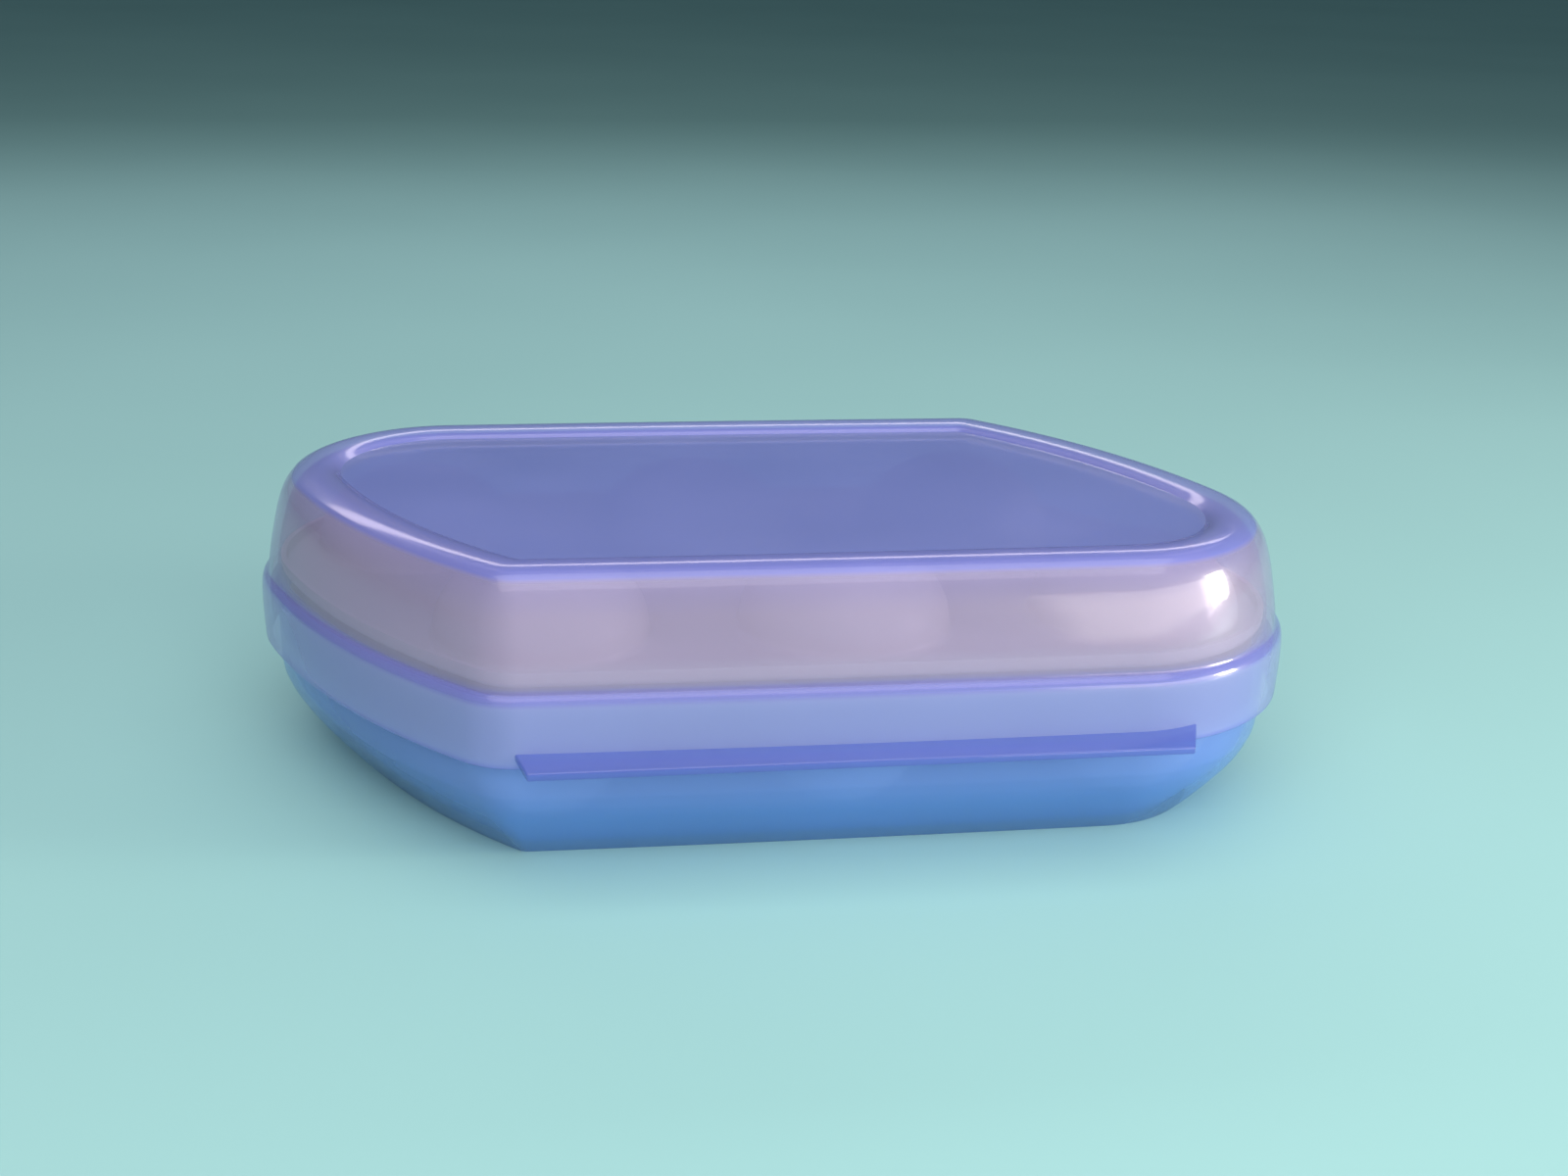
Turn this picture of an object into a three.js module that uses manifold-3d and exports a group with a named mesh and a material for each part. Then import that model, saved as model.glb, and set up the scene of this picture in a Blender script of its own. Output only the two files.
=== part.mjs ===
// Egg holder tray: a translucent hinged case with a leaning (parallelogram) plan, holding a
// lower cup tray and an upper dome tray for two staggered rows of eggs.
// Millimetres, +Z up, origin on the table under the middle of the case, +X along the case.

import * as THREE from 'three';
import { mergeVertices } from 'three/addons/utils/BufferGeometryUtils.js';
import Module from 'manifold-3d';

const wasm = await Module();
wasm.setup();

// ---- Plan of the case -------------------------------------------------------------------------
const CASE_LENGTH = 185.2;            // along a long side, between the sharp corners
const CASE_WIDTH = 129;               // between the chords of the two long sides
const LEAN = THREE.MathUtils.degToRad(66);  // angle of the acute corners
const LONG_BOW = 0.9;                 // how far a long side swells out of its chord
const SHORT_BOW = 15.5;               // the same for a short side
const ACUTE_RADIUS = 44;
const OBTUSE_RADIUS = 17;
const SMALLEST_RADIUS = 4;

// Straight pieces in each corner arc and each side arc of one outline.
const ACUTE_STEPS = 8;
const OBTUSE_STEPS = 4;
const LONG_STEPS = 5;
const SHORT_STEPS = 4;

// ---- Heights ----------------------------------------------------------------------------------
const WALL = 1.8;                     // thickness of both shells
const SKIRT_BOTTOM = 27;              // lower edge of the lid
const LEDGE = 40;                     // the case is widest here
const LID_TOP = 66.1;                 // crown of the raised border
const PANEL_TOP = 64.5;               // the flat panel inside the border
const RIM_TOP = 41;                   // upper edge of the base

// Each section is a list of [inset from the widest outline, height].
const LID_OUTSIDE = [
  [19, PANEL_TOP], [15.4, LID_TOP], [11.6, LID_TOP], [8.3, 64.6], [6.1, 62], [4.5, 57.5],
  [3.2, 51.7], [2.2, 46.6], [1.8, 42.7], [0.4, 41.4], [0, LEDGE], [0, 33.5], [0.4, SKIRT_BOTTOM],
];
const LID_INSIDE = [
  [1.9, SKIRT_BOTTOM], [1.8, 39.4], [3.8, 41.7], [4, 46.6], [5, 51.2], [6.4, 56.6],
  [8, 60.4], [9.6, 62.6], [11.9, LID_TOP - WALL], [15.2, LID_TOP - WALL], [19.2, PANEL_TOP - WALL],
];
const BASE_INSIDE = [
  [18.6, WALL], [16.4, 3.9], [13.3, 7.5], [10.6, 10.8], [8.3, 13.8], [6.9, 15.7], [5.9, 18.4],
  [5.3, 21.2], [5.2, RIM_TOP],
];
const BASE_OUTSIDE = [
  [3.9, RIM_TOP], [3.4, 40.3], [3.4, 25.9], [3.5, 21.1], [4.1, 18.2], [5.1, 15.1], [6.5, 13],
  [8.9, 9.8], [11.6, 6.5], [14.8, 2.7], [17.5, 0],
];

// ---- Egg lattice and trays --------------------------------------------------------------------
const EGG_PITCH = 65;                 // along a row
const ROW_OFFSET = 30.6;              // from the middle of the case to each row
const ROW_SHIFT = 13.4;               // front row moved right by this, back row left
const EGGS_IN_A_ROW = 3;
const TRAY_SHEET = 1.2;
const CUP_MOUTH = 21.6;               // inside radius of a cup where it meets the plate
const CUP_STEPS = 20;                 // flats round a cup
const CUP_RINGS = 5;                  // rings from a cup's bottom to its mouth
const LOWER_PLATE_TOP = 37.4;
const LOWER_CUP_BOTTOM = 2.1;
const LOWER_PLATE_INSET = 5.7;
const UPPER_PLATE_BOTTOM = 42.4;
const UPPER_DOME_TOP = 62.3;
const UPPER_PLATE_INSET = 4.6;

// ---- Finger tab along the front ---------------------------------------------------------------
const TAB_LEFT = -59.2;               // where its root starts and ends along X
const TAB_RIGHT = 83.5;
const TAB_REACH = 70.2;               // how far in front of the middle of the case it ends
const TAB_MITRE = 3;                  // how much shorter the tip is than the root, at each end
const TAB_ROOT = 56;                  // how far in front of the middle it starts, before trimming
const TAB_THICKNESS = 1.6;
const TAB_ROOT_HEIGHT = 30.2;         // top face where it leaves the skirt
const TAB_SLOPE = 0.3;                // fall of the tab per millimetre outward

// ---- Hinge along the back ---------------------------------------------------------------------
const HINGE_Y = 66.8;                 // the hinge line, along X
const HINGE_Z = 23.3;
const HINGE_CENTRE = 0;               // midway between the two hinge stations, along X
const HINGE_SPACING = 80;             // from one hinge station to the other
const PIN_RADIUS = 1.6;
const CLIP_BORE = 2;                  // inside radius of the split ring
const CLIP_OUTSIDE = 3.4;             // outside radius of the split ring
const CLIP_WIDTH = 12;
const EAR_WIDTH = 2.4;
const EAR_RADIUS = 2.9;
const EAR_GAP = 0.6;                  // between a clip and the ear beside it

const SHELL_COLOUR = new THREE.Color(0.36, 0.38, 0.78);
const TRAY_COLOUR = new THREE.Color(0.9, 0.9, 0.88);

const shellMaterial = new THREE.MeshStandardMaterial({
  color: SHELL_COLOUR,
  roughness: 0.3,
  metalness: 0,
  transparent: true,
  opacity: 0.6,
});
const trayMaterial = new THREE.MeshStandardMaterial({
  color: TRAY_COLOUR,
  roughness: 0.5,
  metalness: 0,
});

// ---- Outline ----------------------------------------------------------------------------------

// The four sides as circles: centre and radius of each bowed side of the widest outline.
function caseSides(corners) {
  const bows = [LONG_BOW, SHORT_BOW, LONG_BOW, SHORT_BOW];
  return corners.map((from, i) => {
    const to = corners[(i + 1) % 4];
    const chord = to.clone().sub(from);
    const length = chord.length();
    const radius = (length * length / 4 + bows[i] * bows[i]) / (2 * bows[i]);
    const outward = new THREE.Vector2(chord.y, -chord.x).divideScalar(length);
    const centre = from.clone().add(to).multiplyScalar(0.5).addScaledVector(outward, bows[i] - radius);
    return { centre, radius };
  });
}

// Where two circles meet, nearest to a given point.
function circlesMeet(a, radiusA, b, radiusB, near) {
  const between = b.clone().sub(a);
  const distance = between.length();
  const along = (radiusA * radiusA - radiusB * radiusB + distance * distance) / (2 * distance);
  const across = Math.sqrt(Math.max(radiusA * radiusA - along * along, 0));
  const unit = between.divideScalar(distance);
  const foot = a.clone().addScaledVector(unit, along);
  const side = new THREE.Vector2(-unit.y, unit.x);
  const one = foot.clone().addScaledVector(side, across);
  const two = foot.clone().addScaledVector(side, -across);
  return one.distanceTo(near) < two.distanceTo(near) ? one : two;
}

// Points along an arc, counter-clockwise, leaving out the last one.
function arcPoints(centre, radius, from, to, steps) {
  const start = from.angle();
  let turn = to.angle() - start;
  if (turn < 0) turn += 2 * Math.PI;
  const points = [];
  for (let i = 0; i < steps; i += 1) {
    const angle = start + turn * i / steps;
    points.push(new THREE.Vector2(
      centre.x + radius * Math.cos(angle),
      centre.y + radius * Math.sin(angle),
    ));
  }
  return points;
}

// The plan outline, a bowed parallelogram with rounded corners, moved inward by inset.
function outline(inset) {
  const lean = CASE_WIDTH / Math.tan(LEAN) / 2;
  const x = CASE_LENGTH / 2;
  const y = CASE_WIDTH / 2;
  const corners = [
    new THREE.Vector2(lean - x, -y),
    new THREE.Vector2(lean + x, -y),
    new THREE.Vector2(x - lean, y),
    new THREE.Vector2(-x - lean, y),
  ];
  const sides = caseSides(corners);
  const fullRadii = [OBTUSE_RADIUS, ACUTE_RADIUS, OBTUSE_RADIUS, ACUTE_RADIUS];
  const radii = fullRadii.map((full) => Math.max(full - inset, SMALLEST_RADIUS));
  const fillets = corners.map((corner, i) => {
    const before = sides[(i + 3) % 4];
    const after = sides[i];
    const reach = inset + radii[i];
    return circlesMeet(before.centre, before.radius - reach, after.centre, after.radius - reach, corner);
  });
  const cornerSteps = [OBTUSE_STEPS, ACUTE_STEPS, OBTUSE_STEPS, ACUTE_STEPS];
  const sideSteps = [LONG_STEPS, SHORT_STEPS, LONG_STEPS, SHORT_STEPS];
  const points = [];
  corners.forEach((corner, i) => {
    const before = sides[(i + 3) % 4];
    const after = sides[i];
    const next = fillets[(i + 1) % 4];
    const enter = fillets[i].clone().sub(before.centre);
    const leave = fillets[i].clone().sub(after.centre);
    const end = next.clone().sub(after.centre);
    points.push(...arcPoints(fillets[i], radii[i], enter, leave, cornerSteps[i]));
    points.push(...arcPoints(after.centre, after.radius - inset, leave, end, sideSteps[i]));
  });
  return points;
}

// ---- Solids -----------------------------------------------------------------------------------

// A closed skin through a chain of rings, from a cap that faces up to a cap that faces down.
function loft(section) {
  const rings = section.map(([inset, height]) => outline(inset).map((p) => [p.x, p.y, height]));
  const count = rings[0].length;
  const positions = rings.flat();
  const index = [];
  rings.slice(1).forEach((ring, k) => {
    for (let i = 0; i < count; i += 1) {
      const j = (i + 1) % count;
      const a = k * count;
      const b = a + count;
      index.push(a + i, b + i, b + j, a + i, b + j, a + j);
    }
  });
  const last = (rings.length - 1) * count;
  const upCentre = positions.push([0, 0, section[0][1]]) - 1;
  const downCentre = positions.push([0, 0, section[section.length - 1][1]]) - 1;
  for (let i = 0; i < count; i += 1) {
    const j = (i + 1) % count;
    index.push(upCentre, i, j, downCentre, last + j, last + i);
  }
  const geometry = new THREE.BufferGeometry();
  geometry.setAttribute('position', new THREE.Float32BufferAttribute(positions.flat(), 3));
  geometry.setIndex(index);
  return geometry;
}

// Volume inside a closed triangle list, negative when its faces point in.
function signedVolume(position, triangles) {
  const at = (i) => new THREE.Vector3().fromBufferAttribute(position, i);
  let total = 0;
  for (let i = 0; i < triangles.length; i += 3) {
    total += at(triangles[i]).dot(at(triangles[i + 1]).cross(at(triangles[i + 2])));
  }
  return total / 6;
}

// A geometry as a manifold solid, its faces turned outward.
function solid(geometry) {
  const bare = geometry.clone();
  bare.deleteAttribute('normal');
  bare.deleteAttribute('uv');
  const merged = mergeVertices(bare, 1e-4);
  const source = merged.index.array;
  const triangles = [];
  for (let i = 0; i < source.length; i += 3) {
    const [a, b, c] = source.slice(i, i + 3);
    if (a !== b && b !== c && c !== a) triangles.push(a, b, c);
  }
  if (signedVolume(merged.attributes.position, triangles) < 0) triangles.reverse();
  return new wasm.Manifold(new wasm.Mesh({
    numProp: 3,
    vertProperties: new Float32Array(merged.attributes.position.array),
    triVerts: new Uint32Array(triangles),
  }));
}

function geometryOf(body) {
  const mesh = body.getMesh();
  const geometry = new THREE.BufferGeometry();
  geometry.setAttribute('position', new THREE.Float32BufferAttribute(mesh.vertProperties, 3));
  geometry.setIndex(Array.from(mesh.triVerts));
  geometry.computeVertexNormals();
  return geometry;
}

function join(first, ...others) {
  return others.reduce((body, other) => body.add(other), first);
}

// A bar along X between two stations, with any outline given in the YZ plane.
function barAlongX(shape, from, to, curveSegments = 12) {
  const geometry = new THREE.ExtrudeGeometry(shape, { depth: to - from, bevelEnabled: false, curveSegments });
  // The shape's x and y become Y and Z, and the extrusion runs along X.
  geometry.applyMatrix4(new THREE.Matrix4().makeBasis(
    new THREE.Vector3(0, 1, 0),
    new THREE.Vector3(0, 0, 1),
    new THREE.Vector3(1, 0, 0),
  ));
  geometry.translate(from, 0, 0);
  return solid(geometry);
}

// ---- Lid --------------------------------------------------------------------------------------

// Finger tab: a sloping lip with mitred ends and a straight front edge.
function fingerTab() {
  const shape = new THREE.Shape([
    new THREE.Vector2(TAB_LEFT, -TAB_ROOT),
    new THREE.Vector2(TAB_LEFT + TAB_MITRE, -TAB_REACH),
    new THREE.Vector2(TAB_RIGHT - TAB_MITRE, -TAB_REACH),
    new THREE.Vector2(TAB_RIGHT, -TAB_ROOT),
  ]);
  const geometry = new THREE.ExtrudeGeometry(shape, { depth: TAB_THICKNESS, bevelEnabled: false });
  const position = geometry.attributes.position;
  const skirtFront = -(CASE_WIDTH / 2 + LONG_BOW);
  for (let i = 0; i < position.count; i += 1) {
    const outward = skirtFront - position.getY(i);
    position.setZ(i, position.getZ(i) + TAB_ROOT_HEIGHT - TAB_THICKNESS - TAB_SLOPE * outward);
  }
  return solid(geometry);
}

// The two places along the back where the lid is clipped to the base.
function hingeStations() {
  return [-1, 1].map((side) => HINGE_CENTRE + side * HINGE_SPACING / 2);
}

// Hinge clip: a split ring round the pin, and the web that hangs it from the skirt.
function hingeClip(station) {
  const ring = new THREE.Shape();
  const mouth = THREE.MathUtils.degToRad(32);
  const towardBase = Math.PI;
  const start = towardBase + mouth;
  const end = towardBase - mouth + 2 * Math.PI;
  ring.absarc(HINGE_Y, HINGE_Z, CLIP_OUTSIDE, start, end, false);
  ring.absarc(HINGE_Y, HINGE_Z, CLIP_BORE, end, start, true);
  const web = new THREE.Shape([
    new THREE.Vector2(HINGE_Y - 2.6, HINGE_Z + 2.4),
    new THREE.Vector2(HINGE_Y, HINGE_Z + 2.7),
    new THREE.Vector2(HINGE_Y + 0.2, SKIRT_BOTTOM + 1),
    new THREE.Vector2(HINGE_Y - 1.6, SKIRT_BOTTOM + 6),
    new THREE.Vector2(HINGE_Y - 2.8, SKIRT_BOTTOM + 6),
    new THREE.Vector2(HINGE_Y - 2.8, SKIRT_BOTTOM + 0.1),
  ]);
  const from = station - CLIP_WIDTH / 2;
  const to = station + CLIP_WIDTH / 2;
  return barAlongX(ring, from, to).add(barAlongX(web, from, to));
}

function lidShell() {
  const shell = solid(loft([...LID_OUTSIDE, ...LID_INSIDE]));
  // What fills the inside of the lid, so that the tab and webs end flush with its inner face.
  const hollow = solid(loft([...LID_INSIDE].reverse()));
  const additions = join(fingerTab(), ...hingeStations().map(hingeClip)).subtract(hollow);
  return shell.add(additions);
}

// ---- Base -------------------------------------------------------------------------------------

// One ear: a round end about the hinge line and a gusset back to the base wall.
function hingeEar(from) {
  const ear = new THREE.Shape();
  const wall = CASE_WIDTH / 2 + LONG_BOW - 5;
  ear.absarc(HINGE_Y, HINGE_Z, EAR_RADIUS, -Math.PI / 2, Math.PI / 2, false);
  ear.lineTo(wall, HINGE_Z + EAR_RADIUS);
  ear.lineTo(wall, HINGE_Z - 2 * EAR_RADIUS);
  return barAlongX(ear, from, from + EAR_WIDTH, 8);
}

function hingePin(station) {
  const reach = CLIP_WIDTH / 2 + EAR_GAP + EAR_WIDTH / 2;
  const round = new THREE.Shape();
  round.absarc(HINGE_Y, HINGE_Z, PIN_RADIUS, 0, 2 * Math.PI, false);
  return barAlongX(round, station - reach, station + reach, 8);
}

function hingeBracket(station) {
  const inner = CLIP_WIDTH / 2 + EAR_GAP;
  return join(
    hingePin(station),
    hingeEar(station - inner - EAR_WIDTH),
    hingeEar(station + inner),
  );
}

function baseShell() {
  const shell = solid(loft([...BASE_INSIDE, ...BASE_OUTSIDE]));
  const hollow = solid(loft([...BASE_INSIDE].reverse()));
  const brackets = join(...hingeStations().map(hingeBracket)).subtract(hollow);
  return shell.add(brackets);
}

// ---- Trays ------------------------------------------------------------------------------------

// Middles of the egg pockets: two rows, the front one moved right and the back one left.
function eggPlaces() {
  const places = [];
  for (const row of [-1, 1]) {
    for (let i = 0; i < EGGS_IN_A_ROW; i += 1) {
      const x = (i - (EGGS_IN_A_ROW - 1) / 2) * EGG_PITCH - row * ROW_SHIFT;
      places.push([x, row * ROW_OFFSET]);
    }
  }
  return places;
}

// A closed bowl of revolution: a quarter ellipse from its pole to its mouth, then straight on.
function bowl(mouthRadius, mouthHeight, poleHeight, beyond) {
  const profile = [];
  for (let i = 0; i <= CUP_RINGS; i += 1) {
    const turn = i / CUP_RINGS * Math.PI / 2;
    const height = mouthHeight + (poleHeight - mouthHeight) * Math.cos(turn);
    profile.push(new THREE.Vector2(mouthRadius * Math.sin(turn), height));
  }
  profile[0].x = 0;
  if (beyond !== mouthHeight) profile.push(new THREE.Vector2(mouthRadius, beyond));
  profile.push(new THREE.Vector2(0, beyond));
  const geometry = new THREE.LatheGeometry(profile, CUP_STEPS);
  geometry.rotateX(Math.PI / 2);
  return geometry;
}

// A plate with a bowl at each egg place, hollowed from the side where the eggs go in.
function eggTray(inset, plateTop, mouth, pole) {
  const inward = Math.sign(mouth - pole);
  const outer = solid(bowl(CUP_MOUTH + TRAY_SHEET, mouth, pole, mouth));
  const inner = solid(bowl(CUP_MOUTH, mouth, pole + inward * TRAY_SHEET, mouth + inward));
  let tray = solid(loft([[inset, plateTop], [inset, plateTop - TRAY_SHEET]]));
  for (const [x, y] of eggPlaces()) tray = tray.add(outer.translate([x, y, 0]));
  for (const [x, y] of eggPlaces()) tray = tray.subtract(inner.translate([x, y, 0]));
  return tray;
}

function lowerEggTray() {
  return eggTray(LOWER_PLATE_INSET, LOWER_PLATE_TOP, LOWER_PLATE_TOP, LOWER_CUP_BOTTOM);
}

function upperEggTray() {
  const plateTop = UPPER_PLATE_BOTTOM + TRAY_SHEET;
  return eggTray(UPPER_PLATE_INSET, plateTop, UPPER_PLATE_BOTTOM, UPPER_DOME_TOP);
}

// ---- Assembly ---------------------------------------------------------------------------------

function mesh(name, body, material) {
  const piece = new THREE.Mesh(geometryOf(body), material);
  piece.name = name;
  return piece;
}

const eggHolderTray = new THREE.Group();
eggHolderTray.add(
  mesh('base_shell', baseShell(), shellMaterial),
  mesh('lower_egg_tray', lowerEggTray(), trayMaterial),
  mesh('upper_egg_tray', upperEggTray(), trayMaterial),
  mesh('lid_shell', lidShell(), shellMaterial),
);

export default eggHolderTray;
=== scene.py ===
"""Egg holder tray: a frosted violet-blue hinged case with a cup tray and a dome tray inside.

Everything is drawn in millimetres in the CAD frame and turned into metres when a mesh is made.
"""
import math

import bmesh
import bpy
from mathutils import Matrix, Vector
from mathutils.geometry import delaunay_2d_cdt


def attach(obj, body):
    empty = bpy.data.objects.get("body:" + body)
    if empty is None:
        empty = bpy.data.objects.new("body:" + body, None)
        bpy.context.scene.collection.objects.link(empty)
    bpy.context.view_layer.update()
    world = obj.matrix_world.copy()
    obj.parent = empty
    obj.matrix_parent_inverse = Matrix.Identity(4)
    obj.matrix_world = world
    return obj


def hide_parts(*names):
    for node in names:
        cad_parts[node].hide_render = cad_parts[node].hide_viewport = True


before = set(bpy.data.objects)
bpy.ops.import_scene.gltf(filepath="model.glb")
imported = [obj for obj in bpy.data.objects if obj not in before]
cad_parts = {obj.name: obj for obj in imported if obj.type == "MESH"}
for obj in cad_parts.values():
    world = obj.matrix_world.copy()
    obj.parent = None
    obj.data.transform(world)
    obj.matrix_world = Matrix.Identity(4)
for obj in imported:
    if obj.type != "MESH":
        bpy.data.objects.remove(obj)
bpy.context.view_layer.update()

MM = 0.001
SHELL_SHARP = math.radians(32)      # faces that meet at more than this keep a sharp edge
TRAY_SHARP = math.radians(50)
BEVEL_ANGLE = math.radians(40)      # edges sharper than this are rounded

# ---- Plan of the case, as in the CAD ------------------------------------------------------------
CASE_LENGTH = 185.2
CASE_WIDTH = 129.0
LEAN = math.radians(66)
LONG_BOW = 0.9
SHORT_BOW = 15.5
ACUTE_RADIUS = 44.0
OBTUSE_RADIUS = 17.0
SMALLEST_RADIUS = 4.0
SKIRT_FRONT = -(CASE_WIDTH / 2 + LONG_BOW)      # the furthest point forward
VISUAL_INSET = 0.25         # the smooth outline stays just inside the faceted one

ACUTE_STEPS = 64
OBTUSE_STEPS = 20
LONG_STEPS = 56
SHORT_STEPS = 34
CAP_RINGS = (0.2, 0.45, 0.7, 0.88)      # rings across a flat cap, as parts of its size
SHORTEST_STEP = 0.02                    # closer points of a section are left out

# ---- Sections: [inset, height] or [inset, height, fillet], all in millimetres --------------------
# A point with no fillet is passed smoothly; a fillet is how far along each side an edge is rounded.
SKIRT_BOTTOM = 27.0
LID_TOP = 66.1
PANEL_TOP = 64.5
WALL = 1.8
RIM_TOP = 41.0
LID_OUTSIDE = [
    [19.0, PANEL_TOP, 0.9], [17.6, 65.5], [15.4, LID_TOP], [11.8, LID_TOP], [9.6, 65.4],
    [8.3, 64.6, 0.5], [6.1, 62.0], [4.5, 57.5], [3.2, 51.7], [2.2, 46.6], [1.8, 42.7, 0.5],
    [0.5, 41.4, 0.6], [0.0, 39.6], [0.0, 33.5], [0.3, SKIRT_BOTTOM, 0.5],
]
LID_INSIDE = [
    [1.9, SKIRT_BOTTOM, 0.4], [1.8, 39.4, 0.4], [3.8, 41.7, 0.8], [4.0, 46.6], [5.0, 51.2],
    [6.4, 56.6], [8.0, 60.4], [9.6, 62.6], [11.9, LID_TOP - WALL], [15.2, LID_TOP - WALL],
    [19.2, PANEL_TOP - WALL, 0.9],
]
BASE_INSIDE = [
    [18.6, WALL, 2.0], [16.4, 3.9], [13.3, 7.5], [10.6, 10.8], [8.3, 13.8], [6.9, 15.7],
    [5.9, 18.4], [5.3, 21.2], [5.2, RIM_TOP, 0.4],
]
BASE_OUTSIDE = [
    [3.9, RIM_TOP, 0.4], [3.4, 40.3, 0.3], [3.4, 25.9], [3.5, 21.1], [3.9, 18.6, 0.7],
    [5.1, 15.6, 0.8], [6.5, 13.0], [8.9, 9.8], [11.6, 6.5], [14.8, 2.7], [17.5, 0.0, 0.9],
]

# ---- Egg lattice and trays ------------------------------------------------------------------------
EGG_PITCH = 65.0
ROW_OFFSET = 30.6
ROW_SHIFT = 13.4
TRAY_SHEET = 1.2
CUP_MIDDLE_RADIUS = 22.2    # of the sheet's middle surface at a cup's mouth
CUP_LIP = 2.2               # fillet from the plate into a cup
CUP_STEPS = 56
LOWER_PLATE = 36.8          # middle of the sheet
LOWER_POLE = 2.75
LOWER_INSET = 6.4
UPPER_PLATE = 43.0
UPPER_POLE = 61.65
UPPER_INSET = 5.25
FLANGE = 3.0                # how far a tray's edge turns down or up
EDGE_BEND = 1.2             # radius of that turn
EDGE_STEPS = 4
CUP_LIP_STEPS = 6
CUP_BOWL_STEPS = 16
HOLE_MARGIN = 0.05          # a triangle this far inside a hole's edge is dropped
WELD_REACH = 0.02           # points closer than this become one

# ---- Finger tab and hinge -------------------------------------------------------------------------
TAB_LEFT = -59.2
TAB_RIGHT = 83.5
TAB_TIP = -70.1
TAB_MITRE = 3.0
TAB_THICKNESS = 1.6
TAB_ROOT_HEIGHT = 30.2
TAB_SLOPE = 0.3
HINGE_STATIONS = (-40.0, 40.0)
HINGE_Y = 66.8
HINGE_Z = 23.3
PIN_RADIUS = 1.6
CLIP_BORE = 2.0
CLIP_OUTSIDE = 3.35
CLIP_WIDTH = 12.0
CLIP_MOUTH = math.radians(32)
EAR_WIDTH = 2.4
EAR_RADIUS = 2.9
EAR_GAP = 0.6
EAR_ROOT = 4.6              # how far inside the outline an ear starts


# ---- Outline and section --------------------------------------------------------------------------

def case_sides(corners):
    """Centre and radius of each bowed side of the widest outline."""
    sides = []
    for i, bow in enumerate((LONG_BOW, SHORT_BOW, LONG_BOW, SHORT_BOW)):
        chord = corners[(i + 1) % 4] - corners[i]
        radius = (chord.length ** 2 / 4 + bow ** 2) / (2 * bow)
        outward = Vector((chord.y, -chord.x)).normalized()
        middle = (corners[(i + 1) % 4] + corners[i]) / 2
        sides.append((middle + outward * (bow - radius), radius))
    return sides


def circles_meet(a, radius_a, b, radius_b, near):
    """Where two circles meet, nearest to a point."""
    between = b - a
    along = (radius_a ** 2 - radius_b ** 2 + between.length ** 2) / (2 * between.length)
    across = math.sqrt(max(radius_a ** 2 - along ** 2, 0))
    unit = between.normalized()
    side = Vector((-unit.y, unit.x))
    foot = a + unit * along
    return min((foot + side * across, foot - side * across), key=lambda p: (p - near).length)


def arc_points(centre, radius, start, end, steps):
    """Points along an arc, counter-clockwise, without the last one."""
    first = math.atan2(start.y, start.x)
    turn = (math.atan2(end.y, end.x) - first) % (2 * math.pi)
    angles = [first + turn * i / steps for i in range(steps)]
    return [Vector((centre.x + radius * math.cos(a), centre.y + radius * math.sin(a))) for a in angles]


def outline(inset, detail=1):
    """The plan outline, a bowed parallelogram with rounded corners, moved inward by inset."""
    inset = inset + VISUAL_INSET
    lean = CASE_WIDTH / math.tan(LEAN) / 2
    x, y = CASE_LENGTH / 2, CASE_WIDTH / 2
    corners = [Vector(p) for p in ((lean - x, -y), (lean + x, -y), (x - lean, y), (-x - lean, y))]
    sides = case_sides(corners)
    radii = [max(full - inset, SMALLEST_RADIUS) for full in (OBTUSE_RADIUS, ACUTE_RADIUS) * 2]
    fillets = []
    for i, corner in enumerate(corners):
        (c0, r0), (c1, r1) = sides[i - 1], sides[i]
        reach = inset + radii[i]
        fillets.append(circles_meet(c0, r0 - reach, c1, r1 - reach, corner))
    points = []
    for i in range(4):
        (before, _), (after, radius) = sides[i - 1], sides[i]
        corner_steps = (OBTUSE_STEPS, ACUTE_STEPS)[i % 2] // detail
        side_steps = (LONG_STEPS, SHORT_STEPS)[i % 2] // detail
        leave = fillets[i] - after
        points += arc_points(fillets[i], radii[i], fillets[i] - before, leave, corner_steps)
        points += arc_points(after, radius - inset, leave, fillets[(i + 1) % 4] - after, side_steps)
    return points


def smooth_section(controls, longest=3.0, arc_steps=5):
    """A section's points, rounded at every control and split where a straight run is long."""
    points = [Vector(c[:2]) for c in controls]
    rows = [points[0]]
    for i in range(1, len(points) - 1):
        before, here, after = points[i - 1:i + 2]
        fillet = controls[i][2] if len(controls[i]) > 2 else math.inf
        start = here + (before - here) * min(0.5, fillet / (before - here).length)
        end = here + (after - here) * min(0.5, fillet / (after - here).length)
        for k in range(arc_steps + 1):
            t = k / arc_steps
            rows.append(start * (1 - t) ** 2 + here * 2 * t * (1 - t) + end * t ** 2)
    rows.append(points[-1])
    split = [rows[0]]
    for a, b in zip(rows, rows[1:]):
        if (b - a).length < SHORTEST_STEP:
            continue
        pieces = math.ceil((b - a).length / longest)
        split += [a.lerp(b, (k + 1) / pieces) for k in range(pieces)]
    return split


# ---- Meshes ---------------------------------------------------------------------------------------

def shade_smooth(mesh, sharp):
    """Smooth shading, except where two faces meet at more than an angle."""
    mesh.polygons.foreach_set("use_smooth", [True] * len(mesh.polygons))
    mesh.set_sharp_from_angle(angle=sharp)


def mesh_object(name, vertices, faces):
    """A smooth-shaded object from vertices in millimetres."""
    mesh = bpy.data.meshes.new(name)
    mesh.from_pydata([Vector(v) * MM for v in vertices], [], faces)
    mesh.validate()
    shade_smooth(mesh, SHELL_SHARP)
    obj = bpy.data.objects.new(name, mesh)
    bpy.context.scene.collection.objects.link(obj)
    return obj


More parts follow.
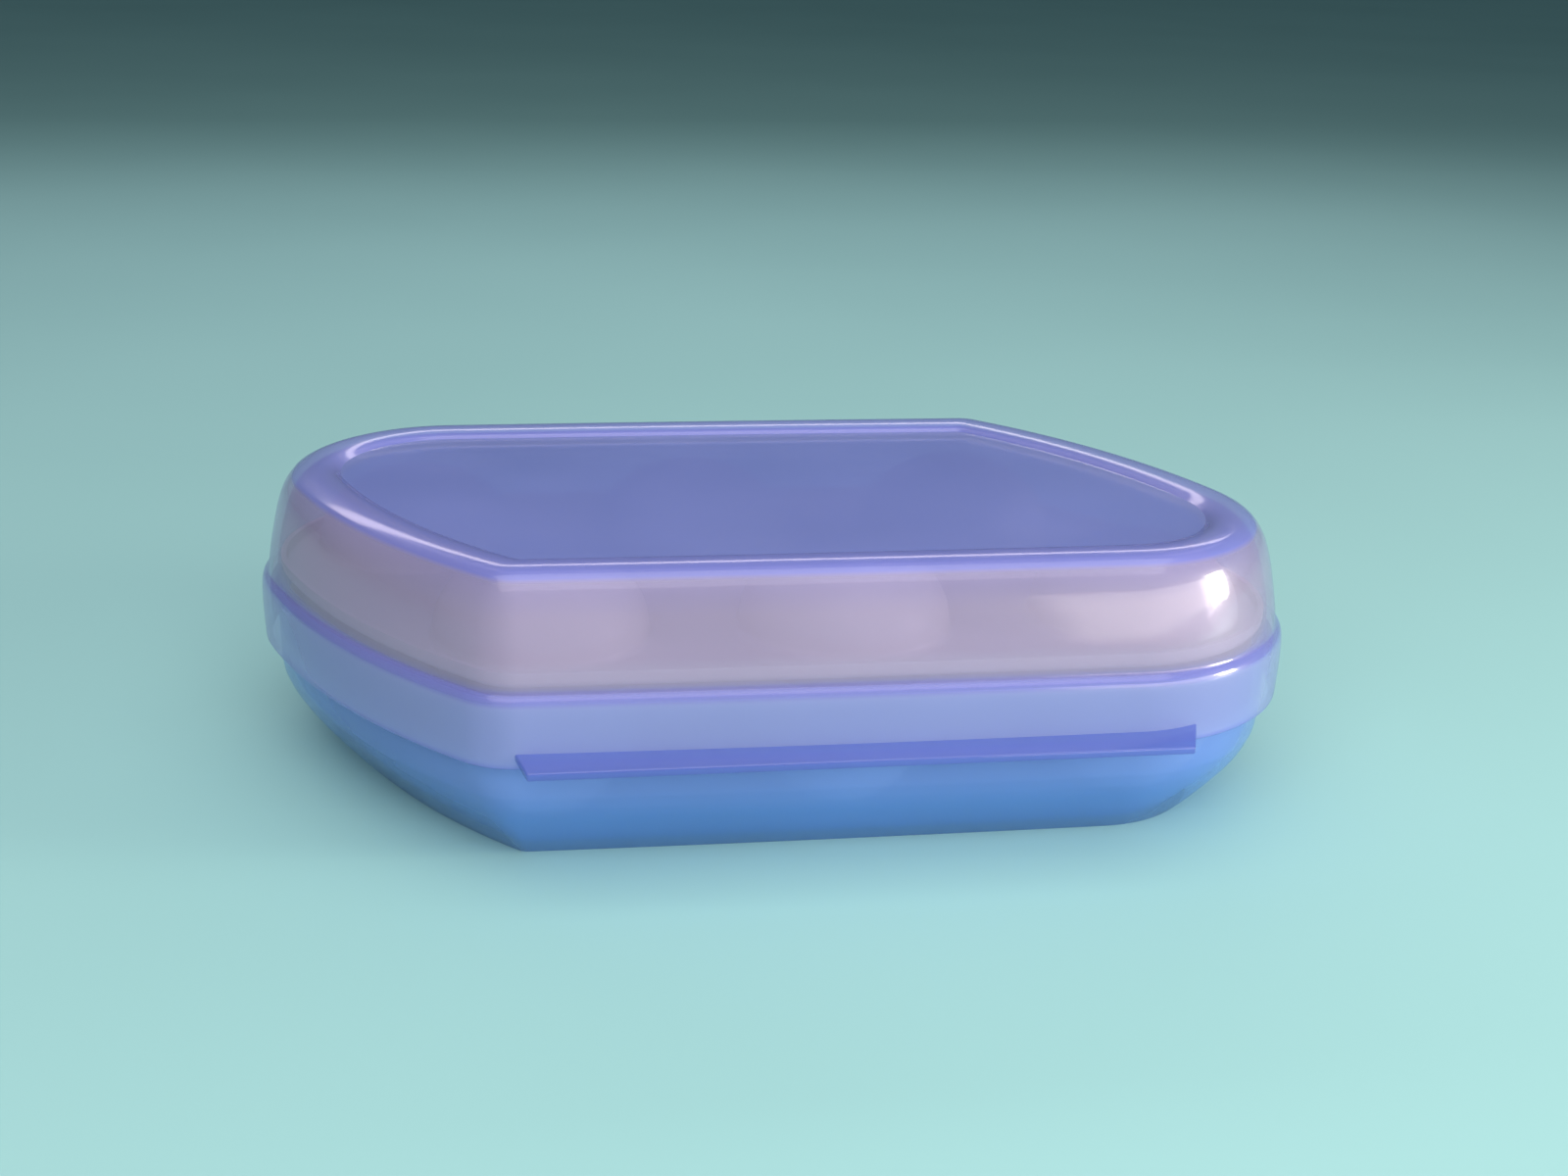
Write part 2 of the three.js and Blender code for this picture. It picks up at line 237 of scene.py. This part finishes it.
def add_rings(vertices, faces, rings):
    """Adds a skin through a chain of equal rings, and gives the index where the last one starts."""
    start = len(vertices)
    count = len(rings[0])
    for ring in rings:
        vertices.extend(ring)
    for k in range(len(rings) - 1):
        a = start + k * count
        b = a + count
        faces += [(a + i, b + i, b + (i + 1) % count, a + (i + 1) % count) for i in range(count)]
    return start + (len(rings) - 1) * count


def scaled(ring, factor):
    return [(x * factor, y * factor, z) for x, y, z in ring]


def shell(name, section):
    """A closed loft from a cap facing up, out over the section, to a cap facing down."""
    walls = [[(p.x, p.y, row.y) for p in outline(row.x)] for row in section]
    upper_cap = [scaled(walls[0], size) for size in CAP_RINGS]
    lower_cap = [scaled(walls[-1], size) for size in reversed(CAP_RINGS)]
    vertices, faces = [], []
    last = add_rings(vertices, faces, upper_cap + walls + lower_cap)
    up, down = len(vertices), len(vertices) + 1
    vertices += [(0, 0, walls[0][0][2]), (0, 0, walls[-1][0][2])]
    count = len(walls[0])
    for i in range(count):
        j = (i + 1) % count
        faces += [(up, i, j), (down, last + j, last + i)]
    return mesh_object(name, vertices, faces)


def bar_along_x(name, outline_yz, start, end):
    """A prism along X whose ends are the outline, given as (y, z) points counter-clockwise."""
    count = len(outline_yz)
    vertices = [(start, y, z) for y, z in outline_yz] + [(end, y, z) for y, z in outline_yz]
    faces = [tuple(reversed(range(count))), tuple(range(count, 2 * count))]
    faces += [(i, (i + 1) % count, count + (i + 1) % count, count + i) for i in range(count)]
    return mesh_object(name, vertices, faces)


def soften(obj, width, segments=3):
    """Rounds an object's edges and applies the result."""
    modifier = obj.modifiers.new("soften", "BEVEL")
    modifier.width = width * MM
    modifier.segments = segments
    modifier.limit_method = "ANGLE"
    modifier.angle_limit = BEVEL_ANGLE
    modifier.harden_normals = False
    apply_modifiers(obj)


def apply_modifiers(obj):
    graph = bpy.context.evaluated_depsgraph_get()
    mesh = bpy.data.meshes.new_from_object(obj.evaluated_get(graph))
    obj.modifiers.clear()
    obj.data = mesh


def join_into(obj, others):
    """Boolean union of an object with others, which are then removed."""
    for other in others:
        modifier = obj.modifiers.new("join", "BOOLEAN")
        modifier.operation = "UNION"
        modifier.solver = "EXACT"
        modifier.object = other
        apply_modifiers(obj)
        bpy.data.objects.remove(other)
    shade_smooth(obj.data, SHELL_SHARP)


# ---- Lid ------------------------------------------------------------------------------------------

def finger_tab():
    """The long lip along the front of the skirt: straight tip, mitred ends, sloping down outward."""
    root = [p for p in outline(0.9) if p.y < 0 and TAB_LEFT <= p.x <= TAB_RIGHT]
    root.sort(key=lambda p: -p.x)
    plan = [(p.x, p.y) for p in root]
    plan += [(TAB_LEFT + TAB_MITRE, TAB_TIP), (TAB_RIGHT - TAB_MITRE, TAB_TIP)]
    top = [TAB_ROOT_HEIGHT - TAB_SLOPE * (SKIRT_FRONT - y) for _, y in plan]
    count = len(plan)
    vertices = [(x, y, z) for (x, y), z in zip(plan, top)]
    vertices += [(x, y, z - TAB_THICKNESS) for (x, y), z in zip(plan, top)]
    faces = [tuple(range(count)), tuple(reversed(range(count, 2 * count)))]
    faces += [(i, count + i, count + (i + 1) % count, (i + 1) % count) for i in range(count)]
    tab = mesh_object("tab", vertices, faces)
    soften(tab, 0.35)
    return tab


def circle_yz(radius, start, end, steps):
    """(y, z) points of an arc about the hinge line."""
    angles = [start + (end - start) * i / steps for i in range(steps + 1)]
    return [(HINGE_Y + radius * math.cos(a), HINGE_Z + radius * math.sin(a)) for a in angles]


def hinge_clip(station):
    """The split ring round the pin and the web that hangs it from the skirt."""
    start, end = math.pi + CLIP_MOUTH, 3 * math.pi - CLIP_MOUTH
    ring = circle_yz(CLIP_OUTSIDE, start, end, 40) + circle_yz(CLIP_BORE, end, start, 28)
    web = [
        (HINGE_Y - 2.8, SKIRT_BOTTOM + 0.2), (HINGE_Y - 2.6, HINGE_Z + 2.4),
        (HINGE_Y, HINGE_Z + 2.7), (HINGE_Y + 0.2, SKIRT_BOTTOM + 1.0),
        (HINGE_Y - 1.3, SKIRT_BOTTOM + 6.0), (HINGE_Y - 2.6, SKIRT_BOTTOM + 6.0),
    ]
    left, right = station - CLIP_WIDTH / 2, station + CLIP_WIDTH / 2
    clip = bar_along_x("clip", ring, left, right)
    arm = bar_along_x("arm", web, left, right)
    soften(clip, 0.25)
    soften(arm, 0.3)
    return [clip, arm]


def build_lid():
    lid = shell("lid", smooth_section(LID_OUTSIDE + LID_INSIDE))
    clips = [part for station in HINGE_STATIONS for part in hinge_clip(station)]
    join_into(lid, [finger_tab()] + clips)
    return lid


# ---- Base -----------------------------------------------------------------------------------------

def hinge_bracket(station):
    """The moulded pin and its two ears."""
    inner = CLIP_WIDTH / 2 + EAR_GAP
    wall = -SKIRT_FRONT - EAR_ROOT
    ear = circle_yz(EAR_RADIUS, -math.pi / 2, math.pi / 2, 20)
    ear += [(wall, HINGE_Z + EAR_RADIUS), (wall, HINGE_Z - 2 * EAR_RADIUS)]
    pin = circle_yz(PIN_RADIUS, 0, 2 * math.pi, 32)[:-1]
    parts = [bar_along_x("pin", pin, station - inner - EAR_WIDTH / 2, station + inner + EAR_WIDTH / 2)]
    for side in (-1, 1):
        ends = sorted((station + side * inner, station + side * (inner + EAR_WIDTH)))
        parts.append(bar_along_x("ear", ear, *ends))
        soften(parts[-1], 0.35)
    return parts


def build_base():
    base = shell("base", smooth_section(BASE_INSIDE + BASE_OUTSIDE))
    join_into(base, [part for station in HINGE_STATIONS for part in hinge_bracket(station)])
    return base


# ---- Trays ----------------------------------------------------------------------------------------

def egg_places():
    return [
        Vector((column * EGG_PITCH - row * ROW_SHIFT, row * ROW_OFFSET))
        for row in (-1, 1) for column in (-1, 0, 1)
    ]


def quarter_turn(steps):
    """Angles from nothing to a quarter turn."""
    return [k / steps * math.pi / 2 for k in range(steps + 1)]


def cup_profile(plate, pole):
    """(radius, height) from the plate's hole, over the lip and down a quarter ellipse to the pole."""
    down = math.copysign(1, pole - plate)
    mouth = plate + down * CUP_LIP
    lip = [
        (CUP_MIDDLE_RADIUS + CUP_LIP * (1 - math.sin(a)), plate + down * CUP_LIP * (1 - math.cos(a)))
        for a in quarter_turn(CUP_LIP_STEPS)[:-1]
    ]
    bowl = [
        (CUP_MIDDLE_RADIUS * math.cos(a), mouth + (pole - mouth) * math.sin(a))
        for a in quarter_turn(CUP_BOWL_STEPS)[:-1]
    ]
    return lip + bowl


def edge_profile(inset, plate, down):
    """(inset, height) round the turned edge of a tray and down its flange."""
    bend = [
        (inset + EDGE_BEND * (1 - math.sin(a)), plate + down * EDGE_BEND * (1 - math.cos(a)))
        for a in quarter_turn(EDGE_STEPS)
    ]
    return bend + [(inset, plate + down * FLANGE)]


def circle_xy(place, radius):
    angles = [2 * math.pi * i / CUP_STEPS for i in range(CUP_STEPS)]
    return [place + Vector((math.cos(a), math.sin(a))) * radius for a in angles]


def flat_plate(border, hole_radius, height):
    """Vertices and triangles of a flat sheet inside a border, with a round hole at each egg place."""
    loops = [border] + [circle_xy(place, hole_radius) for place in egg_places()]
    edges = []
    first = 0
    for loop in loops:
        edges += [(first + i, first + (i + 1) % len(loop)) for i in range(len(loop))]
        first += len(loop)
    flat, _, triangles, *_ = delaunay_2d_cdt([p for loop in loops for p in loop], edges, [], 1, 1e-5)
    clear = hole_radius - HOLE_MARGIN

    def on_plate(triangle):
        middle = sum((flat[i] for i in triangle), Vector((0, 0))) / 3
        return all((middle - place).length > clear for place in egg_places())

    return [(p.x, p.y, height) for p in flat], [tuple(t) for t in triangles if on_plate(t)]


def add_cup(vertices, faces, place, profile, pole):
    """Adds one cup or dome, closed at its pole."""
    rings = [[(p.x, p.y, height) for p in circle_xy(place, radius)] for radius, height in profile]
    last = add_rings(vertices, faces, rings)
    vertices.append((place.x, place.y, pole))
    tip = len(vertices) - 1
    faces += [(last + i, last + (i + 1) % CUP_STEPS, tip) for i in range(CUP_STEPS)]


def give_thickness(obj):
    """Welds a sheet's seams and turns it into a closed solid TRAY_SHEET thick."""
    weld = obj.modifiers.new("weld", "WELD")
    weld.merge_threshold = WELD_REACH * MM
    apply_modifiers(obj)
    make_normals_agree(obj)
    thick = obj.modifiers.new("thickness", "SOLIDIFY")
    thick.thickness = TRAY_SHEET * MM
    thick.offset = 0
    apply_modifiers(obj)
    shade_smooth(obj.data, TRAY_SHARP)


def tray(name, plate, pole, inset):
    """A thin moulded sheet: flat plate, turned edge, and a cup at each egg place."""
    down = math.copysign(1, pole - plate)
    profile = cup_profile(plate, pole)
    border = outline(inset + EDGE_BEND, detail=2)
    vertices, faces = flat_plate(border, profile[0][0], plate)
    for place in egg_places():
        add_cup(vertices, faces, place, profile, pole)
    edge = edge_profile(inset, plate, down)
    add_rings(vertices, faces, [[(p.x, p.y, z) for p in outline(t, detail=2)] for t, z in edge])
    obj = mesh_object(name, vertices, faces)
    give_thickness(obj)
    return obj


def make_normals_agree(obj):
    """Turns every face of a sheet the same way, so that thickness grows evenly."""
    shape = bmesh.new()
    shape.from_mesh(obj.data)
    bmesh.ops.recalc_face_normals(shape, faces=shape.faces)
    shape.to_mesh(obj.data)
    shape.free()


# ---- Materials ------------------------------------------------------------------------------------

# Sockets of a Mix node set to colours.
MIX_A, MIX_B, MIX_RESULT = 6, 7, 2


class Nodes:
    """A material's node tree with short helpers."""

    def __init__(self, name):
        self.material = bpy.data.materials.new(name)
        self.material.use_nodes = True
        self.tree = self.material.node_tree
        self.shader = self.tree.nodes["Principled BSDF"]
        self.place = self.add("ShaderNodeTexCoord").outputs["Object"]

    def add(self, kind, **inputs):
        node = self.tree.nodes.new(kind)
        for name, value in inputs.items():
            node.inputs[name.replace("_", " ")].default_value = value
        return node

    def link(self, output, target):
        self.tree.links.new(output, target)

    def noise(self, scale, detail=3.0, stretch=(1, 1, 1), turn=0.0):
        mapping = self.add("ShaderNodeMapping", Scale=stretch, Rotation=(0, 0, turn))
        self.link(self.place, mapping.inputs["Vector"])
        noise = self.add("ShaderNodeTexNoise", Scale=scale, Detail=detail)
        self.link(mapping.outputs["Vector"], noise.inputs["Vector"])
        return noise.outputs["Fac"]

    def ramp(self, factor, stops):
        ramp = self.tree.nodes.new("ShaderNodeValToRGB")
        elements = ramp.color_ramp.elements
        while len(elements) < len(stops):
            elements.new(0.5)
        for element, (position, colour) in zip(elements, stops):
            element.position = position
            element.color = (*colour, 1)
        self.link(factor, ramp.inputs["Fac"])
        return ramp.outputs["Color"]

    def by_height(self, stops):
        """A colour that follows the height above the table, from [height in mm, colour] stops."""
        split = self.add("ShaderNodeSeparateXYZ")
        self.link(self.place, split.inputs["Vector"])
        scale = self.add("ShaderNodeMath")
        scale.operation = "DIVIDE"
        self.link(split.outputs["Z"], scale.inputs[0])
        scale.inputs[1].default_value = LID_TOP * MM
        return self.ramp(scale.outputs["Value"], [(z / LID_TOP, colour) for z, colour in stops])

    def bump(self, height, strength, distance, before=None):
        bump = self.add("ShaderNodeBump", Strength=strength, Distance=distance)
        self.link(height, bump.inputs["Height"])
        if before is not None:
            self.link(before, bump.inputs["Normal"])
        return bump.outputs["Normal"]


def grey(value):
    return (value, value, value)


def frosted_plastic(name, haze, share, through):
    """Frosted translucent polypropylene: a cloudy haze over a tinted clear body, glossy skin, fine scuffs.

    A wall has two skins, so what is behind it is seen through both. haze and share are lists of
    [height in mm, value]. The haze is deeper at the moulding's thick edges, and also holds painted light
    and painted shade by height, as lid_plastic and base_plastic set out.
    """
    nodes = Nodes(name)
    shader = nodes.shader
    cloud = nodes.ramp(nodes.noise(scale=14.0, detail=2.0), [(0.3, grey(0.93)), (0.7, grey(1.0))])
    tint = nodes.add("ShaderNodeMix")
    tint.data_type = "RGBA"
    tint.blend_type = "MULTIPLY"
    tint.inputs["Factor"].default_value = 1.0
    nodes.link(nodes.by_height(haze), tint.inputs[MIX_A])
    nodes.link(cloud, tint.inputs[MIX_B])
    nodes.link(tint.outputs[MIX_RESULT], shader.inputs["Base Color"])
    patch = nodes.noise(scale=30.0, detail=2.0)
    nodes.link(nodes.ramp(patch, [(0.35, grey(0.29)), (0.75, grey(0.38))]), shader.inputs["Roughness"])
    shader.inputs["IOR"].default_value = 1.6
    shader.inputs["Coat Weight"].default_value = 1.0
    shader.inputs["Coat Roughness"].default_value = 0.1
    shader.inputs["Coat IOR"].default_value = 1.7
    skin = nodes.bump(nodes.noise(scale=400.0, detail=1.0), strength=0.03, distance=0.0001)
    streaks = nodes.noise(scale=36.0, detail=0.0, stretch=(0.6, 40.0, 40.0), turn=0.5)
    scratches = nodes.ramp(streaks, [(0.74, grey(0.0)), (0.80, grey(1.0))])
    worn = nodes.bump(scratches, strength=0.10, distance=0.00003, before=skin)
    nodes.link(worn, shader.inputs["Normal"])
    clear = nodes.add("ShaderNodeBsdfTransparent", Color=(*through, 1))
    mix = nodes.add("ShaderNodeMixShader")
    nodes.link(nodes.by_height([[z, grey(value)] for z, value in share]), mix.inputs["Fac"])
    nodes.link(clear.outputs["BSDF"], mix.inputs[1])
    nodes.link(shader.outputs["BSDF"], mix.inputs[2])
    output = nodes.tree.nodes["Material Output"]
    nodes.link(mix.outputs["Shader"], output.inputs["Surface"])
    return nodes.material


def lid_plastic():
    # Painted light and shade by height. The pale warm lavender of the wall from 43.8 to 57 mm is painted
    # light, from the warm lamps and the pale domes behind the wall. The deep bands at 27 and 41.2 mm are
    # painted shade, at the skirt's lower edge and in the crease of the ledge. The deep border from 64.5 mm
    # up is the thicker plastic.
    haze = [
        [27.0, (0.18, 0.24, 0.70)], [28.4, (0.30, 0.37, 0.72)], [40.2, (0.31, 0.38, 0.72)],
        [41.2, (0.22, 0.26, 0.72)], [42.4, (0.26, 0.29, 0.72)], [43.8, (0.43, 0.39, 0.57)],
        [57.0, (0.43, 0.39, 0.57)], [63.8, (0.38, 0.36, 0.62)], [64.5, (0.20, 0.24, 0.76)],
        [66.1, (0.21, 0.26, 0.78)],
    ]
    share = [[40.0, 0.46], [44.0, 0.38], [63.6, 0.40], [64.5, 0.56], [66.1, 0.58]]
    return frosted_plastic("lid_plastic", haze, share, (0.88, 0.86, 0.96))


def panel_plastic():
    """The flat panel is the thickest, cloudiest part of the lid."""
    haze = [[62.0, (0.20, 0.28, 0.78)], [65.0, (0.20, 0.28, 0.78)]]
    return frosted_plastic("panel_plastic", haze, [[62.0, 0.60], [65.0, 0.60]], (0.82, 0.84, 0.97))


def base_plastic():
    # Painted shade and painted reflection: the base is a deeper, more saturated blue than the lid, and
    # bluest low down, for the shade it sits in and the floor's cyan light thrown up into it.
    haze = [
        [0.0, (0.12, 0.35, 0.93)], [12.0, (0.15, 0.38, 0.95)], [20.0, (0.20, 0.37, 0.88)],
        [41.0, (0.23, 0.36, 0.82)],
    ]
    return frosted_plastic("base_plastic", haze, [[0.0, 0.50], [20.0, 0.44]], (0.78, 0.87, 0.99))


def tab_plastic():
    haze = [[27.0, (0.09, 0.14, 0.50)], [31.0, (0.11, 0.16, 0.56)]]
    return frosted_plastic("tab_plastic", haze, [[27.0, 0.55], [31.0, 0.55]], (0.72, 0.80, 0.97))


def tray_plastic():
    """Natural white polypropylene with a fine matt skin and a faint cloudy tone."""
    nodes = Nodes("tray_plastic")
    shader = nodes.shader
    tone = nodes.ramp(nodes.noise(scale=20.0), [(0.3, (0.56, 0.56, 0.545)), (0.7, (0.64, 0.64, 0.625))])
    nodes.link(tone, shader.inputs["Base Color"])
    patch = nodes.ramp(nodes.noise(scale=60.0, detail=4.0), [(0.3, grey(0.36)), (0.7, grey(0.52))])
    nodes.link(patch, shader.inputs["Roughness"])
    shader.inputs["IOR"].default_value = 1.49
    skin = nodes.bump(nodes.noise(scale=260.0, detail=1.0), strength=0.03, distance=0.0001)
    nodes.link(skin, shader.inputs["Normal"])
    return nodes.material


def floor_plain():
    nodes = Nodes("floor_plain")
    cloud = nodes.noise(scale=3.0, detail=2.0)
    tone = nodes.ramp(cloud, [(0.3, (0.27, 0.53, 0.55)), (0.7, (0.29, 0.56, 0.58))])
    nodes.link(tone, nodes.shader.inputs["Base Color"])
    nodes.shader.inputs["Roughness"].default_value = 0.9
    return nodes.material


# ---- Stage ----------------------------------------------------------------------------------------

FLOOR_HALF_SIZE = 8.0
CAMERA_PLACE = (-0.0638, -0.4263, 0.1971)
CAMERA_YAW, CAMERA_PITCH, CAMERA_ROLL = 9.17, 19.93, 1.56
CAMERA_LENS = 45.67
CAMERA_SENSOR = 36.0


def make_floor():
    size = FLOOR_HALF_SIZE
    corners = [(-size, -size, 0), (size, -size, 0), (size, size, 0), (-size, size, 0)]
    mesh = bpy.data.meshes.new("floor")
    mesh.from_pydata(corners, [], [(0, 1, 2, 3)])
    floor = bpy.data.objects.new("floor", mesh)
    bpy.context.scene.collection.objects.link(floor)
    mesh.materials.append(floor_plain())


def make_world():
    world = bpy.data.worlds.new("studio")
    world.use_nodes = True
    background = world.node_tree.nodes["Background"]
    background.inputs["Color"].default_value = (0.60, 0.80, 0.86, 1)
    background.inputs["Strength"].default_value = 0.15
    bpy.context.scene.world = world
    bpy.context.scene.view_settings.view_transform = "Standard"


def make_light(name, place, target, size, power, colour, mirrored=True):
    """A rectangular light aimed at a target, in metres and watts. An unmirrored one shows in no gloss."""
    data = bpy.data.lights.new(name, "AREA")
    data.shape = "RECTANGLE"
    data.size, data.size_y = size
    data.energy = power
    data.color = colour
    light = bpy.data.objects.new(name, data)
    light.location = place
    light.visible_glossy = mirrored
    light.rotation_euler = (Vector(target) - Vector(place)).to_track_quat("-Z", "Y").to_euler()
    bpy.context.scene.collection.objects.link(light)


def make_camera():
    """A camera looking down at the front of the case, turned a little right and rolled slightly."""
    yaw, pitch, roll = (math.radians(a) for a in (CAMERA_YAW, CAMERA_PITCH, CAMERA_ROLL))
    forward = Vector((math.sin(yaw) * math.cos(pitch), math.cos(yaw) * math.cos(pitch), -math.sin(pitch)))
    level = Vector((math.cos(yaw), -math.sin(yaw), 0))
    above = level.cross(forward)
    right = level * math.cos(roll) + above * math.sin(roll)
    up = above * math.cos(roll) - level * math.sin(roll)
    data = bpy.data.cameras.new("camera")
    data.lens = CAMERA_LENS
    data.sensor_width = CAMERA_SENSOR
    data.clip_start = 0.01
    camera = bpy.data.objects.new("camera", data)
    turn = Matrix((right, up, -forward)).transposed().to_4x4()
    camera.matrix_world = Matrix.Translation(CAMERA_PLACE) @ turn
    bpy.context.scene.collection.objects.link(camera)
    bpy.context.scene.camera = camera


# ---- Assembly -------------------------------------------------------------------------------------

def finish_piece(obj, name, material, body, node):
    obj.name = name
    obj.data.materials.clear()
    obj.data.materials.append(material)
    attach(obj, body)
    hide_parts(node)


TAB_SLOT, PANEL_SLOT = 1, 2
TAB_CLEAR = 0.2             # a face reaching this far in front of the skirt belongs to the tab
PANEL_MARGIN = 0.05
LEVEL = 0.999               # upward part of a level face's normal


def give_thick_parts_their_plastic(lid):
    """The solid finger tab and the flat panel are deeper in colour than the thin wall."""
    lid.data.materials.append(tab_plastic())
    lid.data.materials.append(panel_plastic())
    tab_from = (SKIRT_FRONT - TAB_CLEAR) * MM
    panel_from = (PANEL_TOP - WALL - PANEL_MARGIN) * MM
    panel_to = (PANEL_TOP + PANEL_MARGIN) * MM
    for face in lid.data.polygons:
        corners = [lid.data.vertices[i].co for i in face.vertices]
        if min(corner.y for corner in corners) < tab_from:
            face.material_index = TAB_SLOT
        elif abs(face.normal.z) > LEVEL and panel_from < face.center.z < panel_to:
            face.material_index = PANEL_SLOT


make_camera()
make_world()
make_floor()
make_light("key", (0.84, -0.30, 0.20), (0.05, 0, 0.04), (0.20, 0.30), 6, (1.0, 0.90, 0.76))
make_light("side", (0.60, -0.66, 0.19), (0.05, 0, 0.04), (0.75, 0.26), 2.6, (1.0, 0.88, 0.76))
make_light("back", (0.0, 0.80, 0.62), (0, 0, 0.05), (1.3, 0.14), 2.4, (1.0, 0.86, 0.88))
make_light("top", (0.0, -0.25, 0.90), (0, -0.03, 0.03), (1.2, 0.9), 6, (1.0, 0.92, 0.91))
make_light("front", (-0.15, -0.95, 0.60), (0, 0, 0.03), (1.3, 0.9), 13, (1.0, 0.89, 0.80), mirrored=False)

lid = build_lid()
finish_piece(lid, "lid_moulding", lid_plastic(), "lid", "lid_shell")
finish_piece(build_base(), "base_moulding", base_plastic(), "base", "base_shell")
give_thick_parts_their_plastic(lid)
tray_material = tray_plastic()
lower = tray("lower", LOWER_PLATE, LOWER_POLE, LOWER_INSET)
finish_piece(lower, "lower_cup_tray", tray_material, "base", "lower_egg_tray")
upper = tray("upper", UPPER_PLATE, UPPER_POLE, UPPER_INSET)
finish_piece(upper, "upper_dome_tray", tray_material, "lid", "upper_egg_tray")
